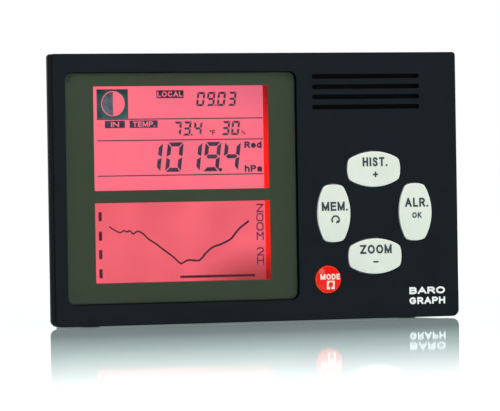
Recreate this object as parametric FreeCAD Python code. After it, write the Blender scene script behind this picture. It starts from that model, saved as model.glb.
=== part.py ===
"""Desk barograph with two display windows, a cross of four keys and a round mode key.

All sizes are in millimetres. The case stands on its feet with the face towards -Y.
Positions are written as (x, d, z): x from the case's middle, d the depth behind the
face, z the height above the case's bottom edge.
"""
import FreeCAD, Part
import math
import os

V = FreeCAD.Vector

# Case
CASE_W = 178.0
CASE_H = 110.2
CASE_D = 32.0
KEY_RISE = 1.2
FOOT_RISE = 0.5
FACE_Y = -(CASE_D - KEY_RISE) / 2
WALL = 2.2
SKIRT_D = 5.1
FLANGE_D = 7.3
BOTTOM_R = 2.8
TOP_R = 1.4
FACE_FILLET = 0.6
SEAM_CHAMFER = 0.35

# Rear housing, drafted towards the back
POD_ROOT_HALF = 83.0
POD_BACK_HALF = 78.0
POD_ROOT_TOP = 107.0
POD_BACK_TOP = 103.5
POD_WALL = 2.0

# Display panel and its two windows
LENS = (-83.0, 16.75, 9.0, 102.2)
LENS_R = 2.8
LENS_D = 0.4
LENS_T = 1.45
LENS_GAP = 0.45
MASK_T = 0.12
TAPE_T = 0.15
FLOOR_D = LENS_D + LENS_T + MASK_T + TAPE_T
FLOOR_BACK = 3.7
UPPER = (-70.85, 5.2, 54.7, 97.05)
LOWER = (-70.8, 5.35, 17.2, 49.7)
WINDOW_R = 0.5
RIM_T = 1.2
FRAME = (-74.9, 9.7, 13.6, 99.9)
LCD_D = 7.5
LCD_T = 1.8
LCD_UPPER = (-73.2, 7.6, 52.7, 99.0)
LCD_LOWER = (-73.2, 7.7, 15.0, 51.5)
GUIDE_UPPER = (-72.9, 5.5, 55.2, 98.4)
GUIDE_LOWER = (-72.9, 5.5, 17.6, 50.9)
GUIDE_T = 1.6
REFLECTOR_T = 0.15
LED_SIZE = (2.6, 1.5, 3.6)
LED_X = 5.7
LED_Z = (24.0, 34.2, 44.4, 62.0, 76.8, 91.6)

# Slots of the sounder, at the top right of the face
SLOT_X = (24.0, 72.2)
SLOT_H = 1.9
SLOT_Z = (87.7, 91.9, 96.1, 100.35)

# Keys
KEY_A = 11.9
KEY_B = 7.3
KEY_R_LONG = 22.0
KEY_R_SHORT = 13.0
KEY_CORNER = 2.5
KEY_GAP = 0.4
KEY_EDGE = 0.8
KEY_CROWN_R = 110.0
KEY_FLANGE = 1.0
KEY_FLANGE_D = (2.6, 3.6)
STEM_R = 3.0
MODE_R = 5.65
MODE_CROWN_R = 22.0
MODE_EDGE = 0.45
KEYS = {
    "history": (51.2, 61.85, "wide"),
    "zoom": (51.2, 25.80, "wide"),
    "memory": (32.9, 43.85, "tall"),
    "alarm": (69.55, 43.85, "tall"),
    "mode": (29.95, 16.6, "round"),
}
DOME_R = 4.8
DOME_TOP_R = 3.4
DOME_H = 1.6
DOME_WALL = 0.5

# Circuit board
BOARD = (-79.0, 78.0, 10.6, 95.5)
BOARD_D = 11.4
BOARD_T = 1.6
BOARD_BACK = BOARD_D + BOARD_T
POST_R = 2.2
POST_BORE_R = 0.85
POSTS = ((-77.1, 30.0), (-77.1, 80.0), (12.5, 16.0), (12.5, 92.0), (74.5, 26.5), (75.8, 82.0))

# Case screws
SCREW_POINTS = ((-79.2, 6.2), (79.2, 6.2), (-79.2, 101.0), (79.2, 101.0))
CASE_POST_R = 2.9
CASE_POST_END = 8.3
CASE_BORE_R = 1.3
CASE_BORE_D = 3.0
WELL_R = 2.9
WELL_WALL = 1.4
SEAT = (8.4, 9.9)

# Battery bay: three AA cells lying side by side
CELL_R = 7.1
CELL_BODY = 49.3
NUB_R = 2.6
NUB_H = 1.2
CELL_Z = (22.4, 37.4, 52.4)
CELL_D = 22.8
BAY = (-67.0, -9.0, 14.4, 60.4)
BAY_FLOOR = (14.2, 15.4)
BAY_WALL = 1.4
BAY_RIM = 3.2
BAY_RIM_D = 28.4
DOOR = (-68.9, -7.1, 12.5, 62.3)
DOOR_GAP = 0.3
DOOR_D = 30.2
CONTACT_T = 0.4
SPRING_WIRE = 0.4
SPRING_R = (3.0, 4.6)
SPRING_TURNS = 4

# Folding stand
RECESS = (5.0, 67.0, 8.0, 77.5)
RECESS_FLOOR = 25.0
RECESS_WALL = 1.4
PIVOT_D = 29.2
PIVOT_Z = 72.5
BARREL_R = 2.5
PIN_R = 1.9
PIN_BORE_R = 1.97
LEG = (7.0, 65.0)
LEG_END = 14.0
LEG_SPAN = (-0.7, 2.3)
HEEL_H = 4.0
HEEL_T = 1.8

# Wall hanging, vents, feet and power inlet
KEYHOLE_X = (-45.0, 45.0)
KEYHOLE_Z = 88.0
KEYHOLE_HEAD_R = 4.0
KEYHOLE_NECK = 4.2
KEYHOLE_RISE = 6.5
KEYHOLE_POCKET = 4.8
VENT_X = (-16.0, 16.0)
VENT_Z = (84.0, 87.2, 90.4, 93.6, 96.8)
VENT_H = 1.4
FOOT_R = 4.0
FOOT_T = 1.3
FEET = ((-70.0, 12.4), (70.0, 12.4), (-70.0, 27.0), (70.0, 27.0))
JACK_D = 18.5
JACK_Z = 18.0
JACK_BODY = (66.5, 76.8, 9.0, 10.4)
JACK_NOSE_R = 3.8
JACK_NOSE_X = 79.4
JACK_BORE_R = 3.0
JACK_BORE_LEN = 9.5
JACK_PIN_R = 1.0


def at(x, d, z):
    """Point from sideways position, depth behind the face and height in the case."""
    return V(x, FACE_Y + d, FOOT_RISE + z)


def box(x0, x1, d0, d1, z0, z1):
    return Part.makeBox(x1 - x0, d1 - d0, z1 - z0, at(x0, d0, z0))


def rod(x, z, r, d0, d1):
    """Cylinder along the depth."""
    return Part.makeCylinder(r, d1 - d0, at(x, d0, z), V(0, 1, 0))


def bar(d, z, r, x0, x1):
    """Cylinder across the case."""
    return Part.makeCylinder(r, x1 - x0, at(x0, d, z), V(1, 0, 0))


def join(shapes):
    shapes = list(shapes)
    if len(shapes) == 1:
        return shapes[0]
    return shapes[0].multiFuse(shapes[1:]).removeSplitter()


def wire_face(points, arcs):
    """Face from corner points, with an arc through arcs[i] after point i where given."""
    edges = []
    for i, start in enumerate(points):
        end = points[(i + 1) % len(points)]
        if start.distanceToPoint(end) < 1e-6:
            continue
        if i in arcs:
            edges.append(Part.Arc(start, arcs[i], end).toShape())
        else:
            edges.append(Part.makeLine(start, end))
    return Part.Face(Part.Wire(edges))


def plate(area, d0, d1, radii=0.0, grow=0.0):
    """Plate facing the front; radii run bottom left, bottom right, top right, top left."""
    x0, x1, z0, z1 = area[0] - grow, area[1] + grow, area[2] - grow, area[3] + grow
    if not isinstance(radii, tuple):
        radii = (radii,) * 4
    radii = [r + grow if r > 0 else 0.0 for r in radii]
    if max(radii) <= 0:
        return box(x0, x1, d0, d1, z0, z1)
    bl, br, tr, tl = radii
    k = 1 - math.sqrt(0.5)
    points = [at(x0 + bl, d0, z0), at(x1 - br, d0, z0), at(x1, d0, z0 + br), at(x1, d0, z1 - tr),
              at(x1 - tr, d0, z1), at(x0 + tl, d0, z1), at(x0, d0, z1 - tl), at(x0, d0, z0 + bl)]
    arcs = {1: at(x1 - k * br, d0, z0 + k * br), 3: at(x1 - k * tr, d0, z1 - k * tr),
            5: at(x0 + k * tl, d0, z1 - k * tl), 7: at(x0 + k * bl, d0, z0 + k * bl)}
    return wire_face(points, arcs).extrude(V(0, d1 - d0, 0))


def slot(x0, x1, z, height, d0, d1):
    """Round-ended slot lying across the case."""
    r = height / 2
    body = box(x0 + r, x1 - r, d0, d1, z - r, z + r)
    return join([body, rod(x0 + r, z, r, d0, d1), rod(x1 - r, z, r, d0, d1)])


def barrel_corner(grow):
    """Corner of a key outline: where the long and the short side arcs meet."""
    a, b = KEY_A + grow, KEY_B + grow
    r1, r2 = KEY_R_LONG + grow, KEY_R_SHORT + grow
    ox, oz = a - r2, b - r1
    span = math.hypot(ox, oz)
    along = (r1 * r1 - r2 * r2 + span * span) / (2 * span)
    off = math.sqrt(r1 * r1 - along * along)
    ux, uz = ox / span, -oz / span
    return along * ux + off * uz, oz + along * uz - off * ux


def barrel_plate(x, z, turned, d0, d1, grow=0.0, corner=KEY_CORNER):
    """Barrel-shaped plate, wide or turned upright, with rounded corners."""
    px, pz = barrel_corner(grow)
    a, b = KEY_A + grow, KEY_B + grow
    corners = [(-px, -pz), (px, -pz), (px, pz), (-px, pz)]
    middles = [(0, -b), (a, 0), (0, b), (-a, 0)]
    if turned:
        corners = [(-q, p) for p, q in corners]
        middles = [(-q, p) for p, q in middles]
    points = [at(x + p, d0, z + q) for p, q in corners]
    arcs = {i: at(x + p, d0, z + q) for i, (p, q) in enumerate(middles)}
    body = wire_face(points, arcs).extrude(V(0, d1 - d0, 0))
    upright = [e for e in body.Edges if abs(e.tangentAt(e.FirstParameter).y) > 0.99]
    return body.makeFillet(corner + grow, upright)


def key_outline(spec, d0, d1, grow=0.0):
    x, z, kind = spec
    if kind == "round":
        return rod(x, z, MODE_R + grow, d0, d1)
    return barrel_plate(x, z, kind == "tall", d0, d1, grow)


def edges_at_depth(shape, d):
    """Edges lying in the plane at one depth."""
    y = FACE_Y + d
    return [e for e in shape.Edges
            if abs(e.BoundBox.YMin - y) < 1e-4 and abs(e.BoundBox.YMax - y) < 1e-4]


# Case front -----------------------------------------------------------------------------

def make_front_cover():
    case = (-CASE_W / 2, CASE_W / 2, 0.0, CASE_H)
    radii = (BOTTOM_R, BOTTOM_R, TOP_R, TOP_R)
    shell = plate(case, 0, SKIRT_D, radii)
    shell = shell.makeFillet(FACE_FILLET, edges_at_depth(shell, 0))
    shell = shell.makeChamfer(SEAM_CHAMFER, edges_at_depth(shell, SKIRT_D))
    shell = shell.cut(plate(case, WALL, SKIRT_D + 1, 0.6, -WALL))
    solids = [shell, plate(LENS, WALL, FLOOR_BACK, LENS_R, 2.2)]
    solids += [rod(x, z, POST_R, WALL, BOARD_D) for x, z in POSTS]
    solids += [rod(x, z, CASE_POST_R, WALL, CASE_POST_END) for x, z in SCREW_POINTS]
    cover = join(solids)
    cuts = [plate(LENS, -1, FLOOR_D, LENS_R, LENS_GAP)]
    cuts += [plate(w, FLOOR_D - 0.5, FLOOR_BACK + 1, WINDOW_R, RIM_T + 0.25) for w in (UPPER, LOWER)]
    cuts += [slot(SLOT_X[0], SLOT_X[1], z, SLOT_H, -1, WALL + 1) for z in SLOT_Z]
    cuts += [key_outline(spec, -1, WALL + 1, KEY_GAP) for spec in KEYS.values()]
    cuts += [rod(x, z, POST_BORE_R, FLOOR_BACK + 1.6, BOARD_D + 1) for x, z in POSTS]
    cuts += [rod(x, z, CASE_BORE_R, CASE_BORE_D, CASE_POST_END + 1) for x, z in SCREW_POINTS]
    for cut in cuts:
        cover = cover.cut(cut)
    return cover


def make_dust_mesh():
    """Fine cloth behind the sounder slots, bonded to the inside of the face."""
    return box(SLOT_X[0] - 2, SLOT_X[1] + 1, WALL, WALL + 0.25, SLOT_Z[0] - 2.4, SLOT_Z[3] + 2.4)


# Display --------------------------------------------------------------------------------

def make_lens():
    lens = plate(LENS, LENS_D, LENS_D + LENS_T, LENS_R)
    return lens.makeChamfer(0.45, edges_at_depth(lens, LENS_D))


def make_mask():
    """Opaque printed film behind the lens, open at the two windows."""
    d0 = LENS_D + LENS_T
    film = plate(LENS, d0, d0 + MASK_T, LENS_R)
    for window in (UPPER, LOWER):
        film = film.cut(plate(window, d0 - 1, d0 + 1, WINDOW_R))
    return film


def make_tape():
    d0 = LENS_D + LENS_T + MASK_T
    tape = plate(LENS, d0, FLOOR_D, LENS_R - 0.6, -0.6)
    for window in (UPPER, LOWER):
        tape = tape.cut(plate(window, d0 - 1, FLOOR_D + 1, WINDOW_R, RIM_T + 0.25))
    return tape


def make_display_frame():
    """Moulded frame: two window rims in front, a seat for each glass, a wall to the board."""
    solids = [plate(FRAME, FLOOR_BACK, BOARD_D - 0.05)]
    rim_d = LENS_D + LENS_T + MASK_T + 0.02
    solids += [plate(w, rim_d, FLOOR_BACK, WINDOW_R, RIM_T) for w in (UPPER, LOWER)]
    frame = join(solids)
    back = LCD_D + LCD_T
    cuts = [plate(w, -1, LCD_D + 1, WINDOW_R) for w in (UPPER, LOWER)]
    cuts += [plate(g, LCD_D, back + 0.1, 0.0, 0.12) for g in (LCD_UPPER, LCD_LOWER)]
    cuts += [plate(FRAME, back + 0.05, BOARD_D + 1, 0.0, -1.2)]
    for cut in cuts:
        frame = frame.cut(cut)
    return frame


def make_zebra(z0):
    return box(-66.0, -2.0, LCD_D + LCD_T, BOARD_D, z0, z0 + 1.3)


def make_leds():
    dx, dd, dz = LED_SIZE
    return Part.makeCompound([
        box(LED_X, LED_X + dx, BOARD_D - dd, BOARD_D, z - dz / 2, z + dz / 2) for z in LED_Z])


# Board and what is on it ----------------------------------------------------------------

def make_board():
    board = plate(BOARD, BOARD_D, BOARD_BACK, 1.0)
    for x, z in POSTS:
        board = board.cut(rod(x, z, 1.15, BOARD_D - 1, BOARD_BACK + 1))
    return board


def make_board_screws():
    screws = []
    for x, z in POSTS:
        head = rod(x, z, 1.9, BOARD_BACK, BOARD_BACK + 1.4)
        head = head.makeChamfer(0.35, edges_at_depth(head, BOARD_BACK + 1.4))
        drive = BOARD_BACK + 0.7
        head = head.cut(box(x - 1.1, x + 1.1, drive, drive + 1, z - 0.2, z + 0.2))
        head = head.cut(box(x - 0.2, x + 0.2, drive, drive + 1, z - 1.1, z + 1.1))
        screws.append(head.fuse(rod(x, z, POST_BORE_R - 0.02, BOARD_D - 5, BOARD_BACK)))
    return Part.makeCompound(screws)


def make_controller():
    """Bare chip under a low blob of black resin."""
    rise, half = 1.5, 7.0
    r = (half * half + rise * rise) / (2 * rise)
    ball = Part.makeSphere(r, at(-40.0, BOARD_BACK + rise - r, 82.0))
    return ball.common(box(-50.0, -30.0, BOARD_BACK, BOARD_BACK + 3, 72.0, 92.0))


def make_crystal():
    can = bar(BOARD_BACK + 1.2, 70.0, 1.1, -24.0, -16.0)
    leads = [bar(BOARD_BACK + 1.2, z, 0.18, -16.0, -14.0) for z in (69.6, 70.4)]
    feet = [rod(-14.0, z, 0.18, BOARD_BACK, BOARD_BACK + 1.2) for z in (69.6, 70.4)]
    return join([can] + leads + feet)


def make_capacitors():
    cans = []
    for x in (22.0, 30.5):
        can = rod(x, 87.0, 3.15, BOARD_BACK, BOARD_BACK + 9.0)
        can = can.makeFillet(0.4, edges_at_depth(can, BOARD_BACK + 9.0))
        groove = rod(x, 87.0, 4.0, BOARD_BACK + 1.4, BOARD_BACK + 1.9)
        cans.append(can.cut(groove.cut(rod(x, 87.0, 2.85, BOARD_BACK, BOARD_BACK + 3.0))))
    return Part.makeCompound(cans)


def make_pressure_sensor():
    base = box(21.0, 28.0, BOARD_D - 1.0, BOARD_D, 70.5, 77.5)
    can = rod(24.5, 74.0, 3.0, BOARD_D - 2.9, BOARD_D - 1.0)
    port = rod(24.5, 74.0, 0.5, BOARD_D - 4, BOARD_D - 1.4)
    return base.fuse(can).cut(port)


def make_humidity_sensor():
    body = box(22.0, 27.0, BOARD_D - 1.4, BOARD_D, 81.0, 86.0)
    return body.cut(rod(24.5, 83.5, 1.2, BOARD_D - 2, BOARD_D - 1.0))


def make_buzzer():
    """Round sounder with its hole facing the slots."""
    can = rod(52.0, 83.3, 11.3, 5.4, BOARD_D)
    can = can.makeFillet(0.8, edges_at_depth(can, 5.4))
    return can.cut(rod(52.0, 83.3, 1.8, 5.0, 7.0))


def make_connector():
    body = box(-4.2, 4.2, BOARD_BACK, BOARD_BACK + 5.6, 70.2, 75.6)
    holes = [rod_up(x, BOARD_BACK + 2.8, 0.8, 69.0, 73.0) for x in (-1.6, 1.6)]
    for hole in holes:
        body = body.cut(hole)
    return body


def rod_up(x, d, r, z0, z1):
    """Cylinder along the height."""
    return Part.makeCylinder(r, z1 - z0, at(x, d, z0), V(0, 0, 1))


def make_lead(points, r=0.65):
    """Insulated wire along a smooth path."""
    curve = Part.BSplineCurve()
    curve.interpolate([at(*p) for p in points])
    edge = curve.toShape()
    ring = Part.makeCircle(r, at(*points[0]), curve.tangent(curve.FirstParameter)[0])
    return Part.Wire([edge]).makePipeShell([Part.Wire([ring])], True, True)


# Keys -----------------------------------------------------------------------------------

def make_key(spec):
    """Cap with a crowned front, a flange that keeps it in the cover, and a stem."""
    x, z, kind = spec
    crown = MODE_CROWN_R if kind == "round" else KEY_CROWN_R
    cap = key_outline(spec, -KEY_RISE - 1, KEY_FLANGE_D[0])
    cap = cap.common(Part.makeSphere(crown, at(x, crown - KEY_RISE, z)))
    rim = [e for e in cap.Edges if e.BoundBox.YMax < FACE_Y + KEY_RISE]
    cap = cap.makeFillet(KEY_EDGE if kind != "round" else MODE_EDGE, rim)
    flange = key_outline(spec, KEY_FLANGE_D[0], KEY_FLANGE_D[1], KEY_FLANGE)
    stem = rod(x, z, STEM_R, KEY_FLANGE_D[1], BOARD_D - DOME_H - 0.05)
    return join([cap, flange, stem])


def make_dome(spec):
    """Silicone dome that brings one key back."""
    x, z, _ = spec
    outer = Part.makeCone(DOME_R, DOME_TOP_R, DOME_H, at(x, BOARD_D, z), V(0, -1, 0))
    inner = Part.makeCone(DOME_R - DOME_WALL, DOME_TOP_R - DOME_WALL, DOME_H - DOME_WALL,
                          at(x, BOARD_D, z), V(0, -1, 0))
    return outer.cut(inner)


def make_keypad_mat():
    mat = plate((20.0, 80.0, 11.0, 70.0), BOARD_D - 1.0, BOARD_D, 2.0)
    mat = mat.common(box(0.0, 77.6, 0.0, 20.0, 0.0, 90.0))
    for x, z, _ in KEYS.values():
        mat = mat.cut(rod(x, z, DOME_R + 0.25, BOARD_D - 2, BOARD_D + 1))
    for x, z in POSTS:
        mat = mat.cut(rod(x, z, POST_R + 0.4, BOARD_D - 2, BOARD_D + 1))
    return mat


# Rear cover -----------------------------------------------------------------------------

def pod(inset, d0, d1):
    """Rear housing block, drafted in plan and in side view, shrunk by an inset."""
    slope_x = (POD_ROOT_HALF - POD_BACK_HALF) / (CASE_D - FLANGE_D)
    slope_z = (POD_ROOT_TOP - POD_BACK_TOP) / (CASE_D - FLANGE_D)
    x0 = POD_ROOT_HALF - inset - slope_x * (d0 - FLANGE_D)
    x1 = POD_ROOT_HALF - inset - slope_x * (d1 - FLANGE_D)
    z0 = POD_ROOT_TOP - inset - slope_z * (d0 - FLANGE_D)
    z1 = POD_ROOT_TOP - inset - slope_z * (d1 - FLANGE_D)
    plan = wire_face([at(-x0, d0, inset), at(x0, d0, inset), at(x1, d1, inset), at(-x1, d1, inset)], {})
    side = wire_face([at(-100, d0, inset), at(-100, d1, inset), at(-100, d1, z1), at(-100, d0, z0)], {})
    return plan.extrude(V(0, 0, 150)).common(side.extrude(V(200, 0, 0)))


def make_rear_housing():
    """Outside of the rear cover, hollowed, before the bays are added."""
    case = (-CASE_W / 2, CASE_W / 2, 0.0, CASE_H)
    flange = plate(case, SKIRT_D, FLANGE_D, (BOTTOM_R, BOTTOM_R, TOP_R, TOP_R))
    flange = flange.makeChamfer(SEAM_CHAMFER, edges_at_depth(flange, SKIRT_D))
    flange = flange.makeFillet(0.5, edges_at_depth(flange, FLANGE_D))
    block = pod(0.0, FLANGE_D - 1.0, CASE_D)
    sharp = [e for e in block.Edges if e.BoundBox.YLength > 5 and e.BoundBox.ZMin > 50]
    block = block.makeFillet(4.0, sharp)
    back = [e for e in edges_at_depth(block, CASE_D) if e.BoundBox.ZMax > FOOT_RISE + 1]
    block = block.makeFillet(2.0, back)
    block = block.common(box(-100, 100, SKIRT_D + 1, CASE_D + 1, -5, 120))
    housing = flange.fuse(block)
    return housing.cut(pod(POD_WALL, SKIRT_D - 1.0, CASE_D - POD_WALL))


def bay_solids():
    """Battery tray: floor, walls, the rim the door lies on, and ribs between the cells."""
    x0, x1, z0, z1 = BAY
    d0, d1 = BAY_FLOOR
    top = DOOR_D - 0.05
    tray = box(x0 - BAY_WALL, x1 + BAY_WALL, d0, top, z0 - BAY_WALL, z1 + BAY_WALL)
    rim = box(x0 - BAY_RIM, x1 + BAY_RIM, BAY_RIM_D, top, z0 - BAY_RIM, z1 + BAY_RIM)
    inside = box(x0, x1, d1, top + 1, z0, z1)
    shell = tray.fuse(rim).cut(inside)
    ribs = []
    for low, high in zip(CELL_Z, CELL_Z[1:]):
        middle = (low + high) / 2
        ribs.append(box(x0, x1, d1, d1 + 2.6, middle - 0.6, middle + 0.6))
    return [shell] + ribs


def stand_solids():
    """Recess for the stand, with a boss at each end of its pivot."""
    x0, x1, z0, z1 = RECESS
    w = RECESS_WALL
    tray = box(x0 - w, x1 + w, RECESS_FLOOR - w, CASE_D - 1, z0 - w, z1 + w)
    bosses = [bar(PIVOT_D, PIVOT_Z, 2.75, x0 - 3.4, x0), bar(PIVOT_D, PIVOT_Z, 2.75, x1, x1 + 3.4)]
    return [tray] + bosses


def keyhole_pocket(x):
    d0 = CASE_D - POD_WALL - KEYHOLE_POCKET
    outer = box(x - 6.4, x + 6.4, d0 - 1.2, CASE_D - 1, KEYHOLE_Z - 5.4, KEYHOLE_Z + 10.2)
    inner = box(x - 5.2, x + 5.2, d0, CASE_D - POD_WALL, KEYHOLE_Z - 4.2, KEYHOLE_Z + 9.0)
    return outer, inner


def keyhole_cut(x):
    """Round hole for a screw head, with a neck above it for the shank."""
    d0, d1 = CASE_D - POD_WALL - 1, CASE_D + 1
    head = rod(x, KEYHOLE_Z, KEYHOLE_HEAD_R, d0, d1)
    half = KEYHOLE_NECK / 2
    neck = box(x - half, x + half, d0, d1, KEYHOLE_Z, KEYHOLE_Z + KEYHOLE_RISE)
    end = rod(x, KEYHOLE_Z + KEYHOLE_RISE, half, d0, d1)
    return join([head, neck, end])


def make_rear_cover():
    cover = make_rear_housing()
    outside = pod(0.0, FLANGE_D - 1.0, CASE_D)
    adds = [rod(x, z, WELL_R + WELL_WALL, SKIRT_D + 0.4, CASE_D).common(outside)
            for x, z in SCREW_POINTS]
    adds += bay_solids() + stand_solids()
    adds += [keyhole_pocket(x)[0] for x in KEYHOLE_X]
    for solid in adds:
        cover = cover.fuse(solid)
    x0, x1, z0, z1 = BAY
    cuts = [rod(x, z, WELL_R, SEAT[1], CASE_D + 1) for x, z in SCREW_POINTS]
    cuts += [rod(x, z, 1.6, SEAT[0] - 1, SEAT[1] + 1) for x, z in SCREW_POINTS]
    cuts += [rod(x, z, CASE_POST_R + 0.15, SKIRT_D - 1, SEAT[0]) for x, z in SCREW_POINTS]
    cuts += [plate(DOOR, DOOR_D - 0.05, CASE_D + 1, 1.2, DOOR_GAP)]
    cuts += [box(x0, x1, CASE_D - 3, CASE_D + 1, z0, z1)]
    cuts += [plate(RECESS, RECESS_FLOOR, CASE_D + 1, 1.5)]
    cuts += [bar(PIVOT_D, PIVOT_Z, PIN_BORE_R, RECESS[0] - 2.6, RECESS[1] + 2.6)]
    cuts += [keyhole_pocket(x)[1] for x in KEYHOLE_X] + [keyhole_cut(x) for x in KEYHOLE_X]
    cuts += [slot(VENT_X[0], VENT_X[1], z, VENT_H, CASE_D - 4, CASE_D + 1) for z in VENT_Z]
    cuts += [bar(JACK_D, JACK_Z, JACK_NOSE_R + 0.3, 70.0, 90.0)]
    cuts += [rod_up(x, d, FOOT_R + 0.1, -1.0, FOOT_T - FOOT_RISE) for x, d in FEET]
    for cut in cuts:
        cover = cover.cut(cut)
    return cover


def make_case_screws():
    screws = []
    seat, top = SEAT[1], SEAT[1] + 1.8
    for x, z in SCREW_POINTS:
        head = rod(x, z, 2.4, seat, top)
        head = head.makeFillet(0.6, edges_at_depth(head, top))
        head = head.cut(box(x - 1.5, x + 1.5, top - 1, top + 1, z - 0.28, z + 0.28))
        head = head.cut(box(x - 0.28, x + 0.28, top - 1, top + 1, z - 1.5, z + 1.5))
        screws.append(head.fuse(rod(x, z, CASE_BORE_R - 0.02, CASE_BORE_D + 0.2, seat)))
    return Part.makeCompound(screws)


def make_feet():
    feet = []
    for x, d in FEET:
        pad = rod_up(x, d, FOOT_R, -FOOT_RISE, FOOT_T - FOOT_RISE - 0.02)
        low = [e for e in pad.Edges if e.BoundBox.ZMax < 0.01]
        feet.append(pad.makeFillet(0.25, low))
    return Part.makeCompound(feet)


def make_door():
    """Battery door with a springy thumb latch and grip ridges."""
    x0, x1, z0, z1 = DOOR
    door = plate(DOOR, DOOR_D, CASE_D, 1.2)
    middle = (x0 + x1) / 2
    for side in (-7.0, 6.2):
        door = door.cut(box(middle + side, middle + side + 0.8, DOOR_D - 1, CASE_D + 1, z1 - 9.0, z1 + 1))
    for i in range(5):
        z = z0 + 8.0 + 2.4 * i
        door = door.cut(slot(middle - 13, middle + 13, z, 1.2, CASE_D - 0.5, CASE_D + 1))
    for i in range(3):
        z = z1 - 2.0 - 1.8 * i
        door = door.cut(box(middle - 4.6, middle + 4.6, CASE_D - 0.5, CASE_D + 1, z - 0.4, z + 0.4))
    pads = [box(x, x + 10.0, DOOR_D - 0.3, DOOR_D, z - 4.0, z + 4.0) for x in (-58.0, -28.0) for z in CELL_Z]
    return join([door] + pads)


# Stand ----------------------------------------------------------------------------------

def make_stand():
    """Leg that hinges at its top on two stub pins; the heel stops it when it is open."""
    x0, x1 = LEG
    near, far = PIVOT_D + LEG_SPAN[0], PIVOT_D + LEG_SPAN[1]
    leg = plate((x0, x1, LEG_END, PIVOT_Z), near, far, (8.0, 8.0, 0.0, 0.0))
    leg = leg.fuse(bar(PIVOT_D, PIVOT_Z, BARREL_R, x0, x1))
    leg = leg.fuse(box(x0 + 6, x1 - 6, PIVOT_D - HEEL_T / 2, PIVOT_D + HEEL_T / 2, PIVOT_Z,
                       PIVOT_Z + HEEL_H))
    leg = leg.fuse(bar(PIVOT_D, PIVOT_Z, PIN_R, RECESS[0] - 2.3, RECESS[1] + 2.3))
    panel = plate((x0 + 6, x1 - 6, LEG_END + 9, PIVOT_Z - 8), far - 1.0, far + 1, 3.0)
    leg = leg.cut(panel)
    for i in range(4):
        leg = leg.cut(slot(29.0, 43.0, LEG_END + 1.8 + 1.6 * i, 0.8, far - 0.5, far + 1))
    return leg


# Batteries and contacts -----------------------------------------------------------------

def cell_faces(i):
    """Direction of the plus end and the x of the cell's two ends."""
    left = i % 2 == 0
    if left:
        tip = BAY[0] + CONTACT_T
        return -1, tip + NUB_H, tip + NUB_H + CELL_BODY
    tip = BAY[1] - CONTACT_T
    return 1, tip - NUB_H - CELL_BODY, tip - NUB_H


def make_cell(i):
    way, x0, x1 = cell_faces(i)
    z = CELL_Z[i]
    can = bar(CELL_D, z, CELL_R, x0, x1)
    ends = [e for e in can.Edges if e.BoundBox.XLength < 0.01]
    can = can.makeFillet(0.7, ends)
    if way < 0:
        return can.fuse(bar(CELL_D, z, NUB_R, x0 - NUB_H, x0 + 0.5))
    return can.fuse(bar(CELL_D, z, NUB_R, x1 - 0.5, x1 + NUB_H))


def make_contacts():
    """Flat spring-steel plates at both ends of the bay."""
    plates = []
    for z in CELL_Z:
        for x in (BAY[0], BAY[1] - CONTACT_T):
            tab = box(x, x + CONTACT_T, CELL_D - 5.0, CELL_D + 5.0, z - 5.5, z + 5.5)
            plates.append(tab)
    return Part.makeCompound(plates)


def make_springs():
    """Tapered coil against the minus end of each cell."""
    coils = []
    for i, z in enumerate(CELL_Z):
        way, x0, x1 = cell_faces(i)
        gap = SPRING_WIRE + 0.02
        tip = x1 + gap if way < 0 else x0 - gap
        base = BAY[1] - CONTACT_T - gap if way < 0 else BAY[0] + CONTACT_T + gap
        steps = SPRING_TURNS * 12
        path = []
        for k in range(steps + 1):
            share = k / steps
            r = SPRING_R[0] + (SPRING_R[1] - SPRING_R[0]) * share
            turn = 2 * math.pi * SPRING_TURNS * share
            path.append((tip + (base - tip) * share, CELL_D + r * math.cos(turn), z + r * math.sin(turn)))
        coils.append(make_lead(path, SPRING_WIRE))
    return Part.makeCompound(coils)


# Power inlet ----------------------------------------------------------------------------

def make_jack():
    x0, x1, height, deep = JACK_BODY
    body = box(x0, x1, BOARD_BACK, BOARD_BACK + deep, JACK_Z - height / 2, JACK_Z + height / 2)
    nose = bar(JACK_D, JACK_Z, JACK_NOSE_R, x1 - 0.5, JACK_NOSE_X)
    bore = bar(JACK_D, JACK_Z, JACK_BORE_R, JACK_NOSE_X - JACK_BORE_LEN, JACK_NOSE_X + 1)
    return body.fuse(nose).cut(bore)


def make_jack_pin():
    start = JACK_NOSE_X - JACK_BORE_LEN
    return bar(JACK_D, JACK_Z, JACK_PIN_R, start, JACK_NOSE_X - 0.8)


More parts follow.
